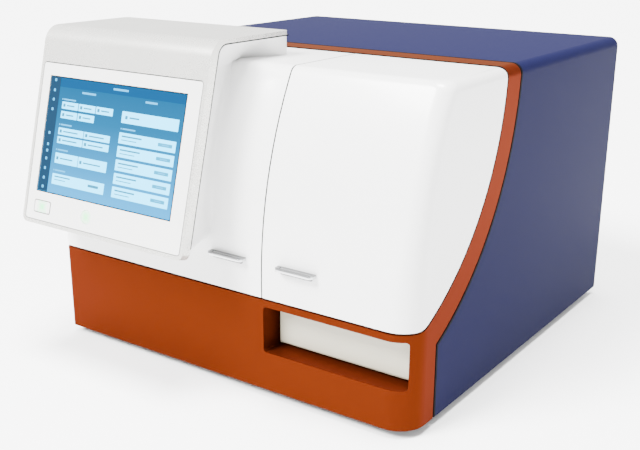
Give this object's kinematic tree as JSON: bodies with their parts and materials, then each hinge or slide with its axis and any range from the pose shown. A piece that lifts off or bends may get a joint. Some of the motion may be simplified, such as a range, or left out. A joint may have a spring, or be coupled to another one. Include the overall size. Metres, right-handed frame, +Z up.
{
  "type": "microplate reader",
  "caption": "Bench-top microplate reader with lift-up front doors, a tilted touch display on one of them, a motorised plate drawer and a light-tight sheet-metal case.",
  "frame": {"origin": "middle of the footprint of the whole instrument, on the bench", "axes": "+Z up, -Y towards the user, +X to the user's right"},
  "size_m": [0.532, 0.627, 0.413],
  "materials": {
    "case_orange": "satin metallic copper-orange paint",
    "cover_blue": "fine-textured dark blue powder coat",
    "door_white": "satin white moulding",
    "display_grey": "pearl grey moulding",
    "panel_grey": "pale grey front panel",
    "screen": "lit touch screen behind glass",
    "status_lens": "lit lens",
    "button_grey": "pale grey key",
    "handle_silver": "satin silver",
    "drawer_white": "warm white moulding",
    "steel": "zinc-plated",
    "aluminium": "machined",
    "anodised_black": "black anodised",
    "dark_metal": "dark grey powder coat",
    "liner_grey": "grey powder coat",
    "seal_black": "foam rubber",
    "foot_rubber": "matt",
    "belt_rubber": "toothed belt",
    "black_plastic": "black moulding",
    "motor_black": "black",
    "switch_black": "black rocker",
    "pusher_orange": "orange moulding",
    "circuit_green": "circuit board",
    "clear_glass": "clear glass",
    "plunger_white": "white polymer",
    "amber_glass": "amber glass"
  },
  "bodies": {
    "chassis": {"base_plate": "dark_metal", "front_bezel": "case_orange", "rear_cover": "cover_blue", "rear_panel": "dark_metal", "front_bulkhead": "dark_metal", "front_deck": "liner_grey", "light_seal": "seal_black", "feet": "foot_rubber", "cover_screws": "steel", "hinge_brackets": "steel", "hinge_rod": "steel", "door_magnets": "steel", "carriage_rails": "steel", "drive_belt": "belt_rubber", "drive_motor": "motor_black", "idler_post": "steel", "read_chamber": "anodised_black", "optics_bench": "aluminium", "optics_head": "anodised_black", "flash_lamp": "aluminium", "excitation_monochromator": "anodised_black", "emission_monochromator": "anodised_black", "detector": "anodised_black", "injector_frame": "liner_grey", "syringe_barrels": "clear_glass", "bottle_holder": "liner_grey", "reagent_bottles": "amber_glass", "power_supply": "steel", "main_board": "circuit_green", "fan_frame": "black_plastic", "fan_guard": "steel", "power_inlet": "black_plastic", "data_ports": "steel"},
    "left_lid": {"left_door": "door_white", "left_hinge_leaf": "steel", "left_handle": "handle_silver", "display_housing": "display_grey", "bezel_panel": "panel_grey", "touch_screen": "screen", "lcd_module": "aluminium", "display_board": "circuit_green", "status_light": "status_lens"},
    "right_lid": {"right_door": "door_white", "right_hinge_leaf": "steel", "right_handle": "handle_silver"},
    "drawer": {"drawer_front": "drawer_white", "plate_carriage": "black_plastic", "runner_blocks": "steel"},
    "pusher": {"corner_pusher": "pusher_orange"},
    "drive_wheel": {"drive_pulley": "aluminium"},
    "idler_wheel": {"idler_pulley": "aluminium"},
    "power_key": {"power_button": "button_grey"},
    "rocker": {"power_switch": "switch_black"},
    "fan": {"fan_rotor": "black_plastic"},
    "plunger_a": {"left_plunger": "plunger_white"},
    "plunger_b": {"right_plunger": "plunger_white"},
    "filters": {"filter_slide": "aluminium"}
  },
  "joints": [
    {"name": "left_door_hinge", "type": "hinge", "parent": "chassis", "child": "left_lid", "pos_m": [0, -0.05858, 0.3765], "axis": [-1, 0, 0], "range_deg": [0, 70]},
    {"name": "right_door_hinge", "type": "hinge", "parent": "chassis", "child": "right_lid", "pos_m": [0.166, -0.05858, 0.3765], "axis": [-1, 0, 0], "range_deg": [0, 70]},
    {"name": "drawer_slide", "type": "slide", "parent": "chassis", "child": "drawer", "axis": [0, -1, 0], "range_m": [0, 0.14]},
    {"name": "drive_pulley_spin", "type": "hinge", "parent": "chassis", "child": "drive_wheel", "pos_m": [0.1625, 0.0428, 0.0605], "axis": [0, 0, -1], "range_deg": [0, 805]},
    {"name": "idler_pulley_spin", "type": "hinge", "parent": "chassis", "child": "idler_wheel", "pos_m": [0.1625, -0.1895, 0.0605], "axis": [0, 0, -1], "range_deg": [0, 805]},
    {"name": "corner_pusher_hinge", "type": "hinge", "parent": "drawer", "child": "pusher", "pos_m": [0.09527, -0.09632, 0.072], "axis": [0, 0, -1], "range_deg": [0, 12], "stiffness_Nm_per_rad": 0.05, "springref_deg": -5.73},
    {"name": "power_button_press", "type": "slide", "parent": "left_lid", "child": "power_key", "axis": [0, 0.965, -0.2622], "range_m": [0, 0.0015], "stiffness_N_per_m": 400, "springref_m": -0.001},
    {"name": "power_switch_rock", "type": "hinge", "parent": "chassis", "child": "rocker", "pos_m": [-0.136, 0.3035, 0.072], "axis": [-1, 0, 0], "range_deg": [0, 20]},
    {"name": "fan_spin", "type": "hinge", "parent": "chassis", "child": "fan", "pos_m": [-0.15, 0.2917, 0.26], "axis": [0, 1, 0], "continuous": true},
    {"name": "left_plunger_slide", "type": "slide", "parent": "chassis", "child": "plunger_a", "axis": [0, 0, -1], "range_m": [0, 0.024]},
    {"name": "right_plunger_slide", "type": "slide", "parent": "chassis", "child": "plunger_b", "axis": [0, 0, -1], "range_m": [0, 0.024]},
    {"name": "filter_slide_travel", "type": "slide", "parent": "chassis", "child": "filters", "axis": [0, -1, 0], "range_m": [0, 0.04]}
  ],
  "couplings": [
    {"joint": "drive_pulley_spin", "follows": "drawer_slide", "rad_per_m": 100},
    {"joint": "idler_pulley_spin", "follows": "drawer_slide", "rad_per_m": 100}
  ]
}
